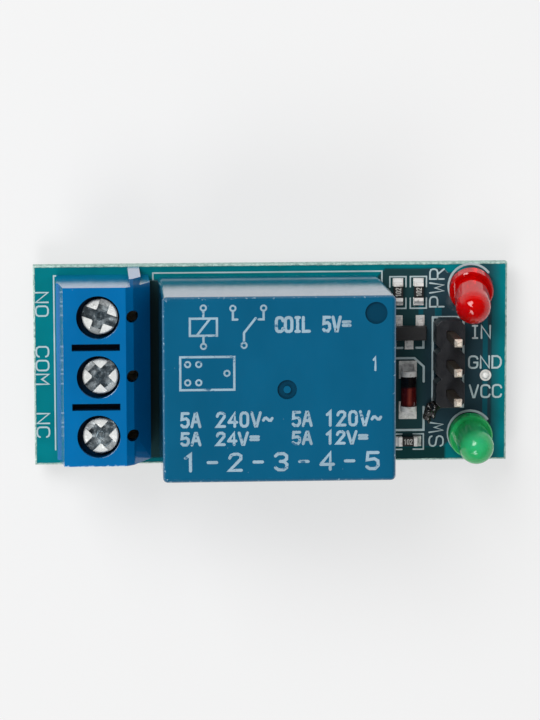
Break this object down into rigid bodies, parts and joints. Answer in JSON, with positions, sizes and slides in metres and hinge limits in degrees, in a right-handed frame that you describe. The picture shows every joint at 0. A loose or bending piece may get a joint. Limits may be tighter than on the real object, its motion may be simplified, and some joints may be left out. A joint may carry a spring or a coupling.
{
  "type": "relay module board",
  "caption": "Small board that switches a mains or battery load through a changeover relay, with a screw terminal, a pin header and two lamps.",
  "frame": {"origin": "under the middle of the board, in the plane of the trimmed lead tips that it stands on", "axes": "+X along the board from the screw terminal to the pin header, +Y across the board towards the power lamp, +Z out of the component side"},
  "size_m": [0.041, 0.0174, 0.0189],
  "materials": {
    "board": "teal solder mask over glass laminate, pale raw edges",
    "tin": "tinned copper",
    "solder": "bright solder",
    "terminal_blue": "moulded polyamide, light gloss",
    "contact_brass": "tinned brass strip",
    "cage_steel": "zinc plated steel",
    "screw_nickel": "bright nickel plate",
    "relay_blue": "moulded case, satin gloss",
    "relay_black": "moulded base",
    "bobbin_white": "moulded bobbin",
    "copper_wire": "enamelled copper winding",
    "soft_iron": "nickel plated soft iron",
    "spring_bronze": "phosphor bronze",
    "silver_alloy": "silver alloy contact",
    "header_black": "moulded header body",
    "pin_gold": "flash gold over nickel",
    "red_epoxy": "clear tinted epoxy",
    "green_epoxy": "clear tinted epoxy",
    "chip_black": "glazed ceramic overcoat",
    "diode_red": "sealed glass",
    "silicon": "silicon die"
  },
  "bodies": {
    "board": {"circuit_board": "board", "tinned_pads": "tin", "lead_solder": "solder", "chip_solder": "solder", "terminal_housing": "terminal_blue", "contact_bar_no": "contact_brass", "contact_bar_com": "contact_brass", "contact_bar_nc": "contact_brass", "relay_cover": "relay_blue", "relay_base": "relay_black", "relay_bobbin": "bobbin_white", "coil_winding": "copper_wire", "coil_core": "soft_iron", "coil_leads": "tin", "relay_yoke": "soft_iron", "common_terminal": "spring_bronze", "no_strip": "spring_bronze", "nc_strip": "spring_bronze", "fixed_contacts": "silver_alloy", "header_strip": "header_black", "header_pins": "pin_gold", "power_lamp_lens": "red_epoxy", "power_lamp_frame": "tin", "switch_lamp_lens": "green_epoxy", "switch_lamp_frame": "tin", "resistor_1_body": "chip_black", "resistor_1_ends": "tin", "resistor_2_body": "chip_black", "resistor_2_ends": "tin", "resistor_3_body": "chip_black", "resistor_3_ends": "tin", "transistor_body": "chip_black", "transistor_legs": "tin", "diode_glass": "diode_red", "diode_ends": "tin", "diode_die": "silicon"},
    "armature": {"relay_armature": "soft_iron", "contact_spring": "spring_bronze", "moving_contacts": "silver_alloy"},
    "screw_no": {"clamp_screw_no": "screw_nickel"},
    "cage_no": {"clamp_cage_no": "cage_steel"},
    "screw_com": {"clamp_screw_com": "screw_nickel"},
    "cage_com": {"clamp_cage_com": "cage_steel"},
    "screw_nc": {"clamp_screw_nc": "screw_nickel"},
    "cage_nc": {"clamp_cage_nc": "cage_steel"}
  },
  "joints": [
    {"name": "armature_pull", "type": "hinge", "parent": "board", "child": "armature", "pos_m": [0.00672, 0, 0.0157], "axis": [0, -1, 0], "range_deg": [0, 3], "stiffness_Nm_per_rad": 0.001, "springref_deg": -17.19},
    {"name": "screw_turn_no", "type": "hinge", "parent": "board", "child": "screw_no", "pos_m": [-0.01484, 0.00535, 0.0126], "axis": [0, 0, -1], "range_deg": [0, 1620]},
    {"name": "cage_lift_no", "type": "slide", "parent": "board", "child": "cage_no", "axis": [0, 0, 1], "range_m": [0, 0.002]},
    {"name": "screw_turn_com", "type": "hinge", "parent": "board", "child": "screw_com", "pos_m": [-0.01484, 0.00035, 0.0126], "axis": [0, 0, -1], "range_deg": [0, 1620]},
    {"name": "cage_lift_com", "type": "slide", "parent": "board", "child": "cage_com", "axis": [0, 0, 1], "range_m": [0, 0.002]},
    {"name": "screw_turn_nc", "type": "hinge", "parent": "board", "child": "screw_nc", "pos_m": [-0.01484, -0.00465, 0.0126], "axis": [0, 0, -1], "range_deg": [0, 1620]},
    {"name": "cage_lift_nc", "type": "slide", "parent": "board", "child": "cage_nc", "axis": [0, 0, 1], "range_m": [0, 0.002]}
  ],
  "couplings": [
    {"joint": "screw_turn_no", "follows": "cage_lift_no", "rad_per_m": 13963},
    {"joint": "screw_turn_com", "follows": "cage_lift_com", "rad_per_m": 13963},
    {"joint": "screw_turn_nc", "follows": "cage_lift_nc", "rad_per_m": 13963}
  ]
}
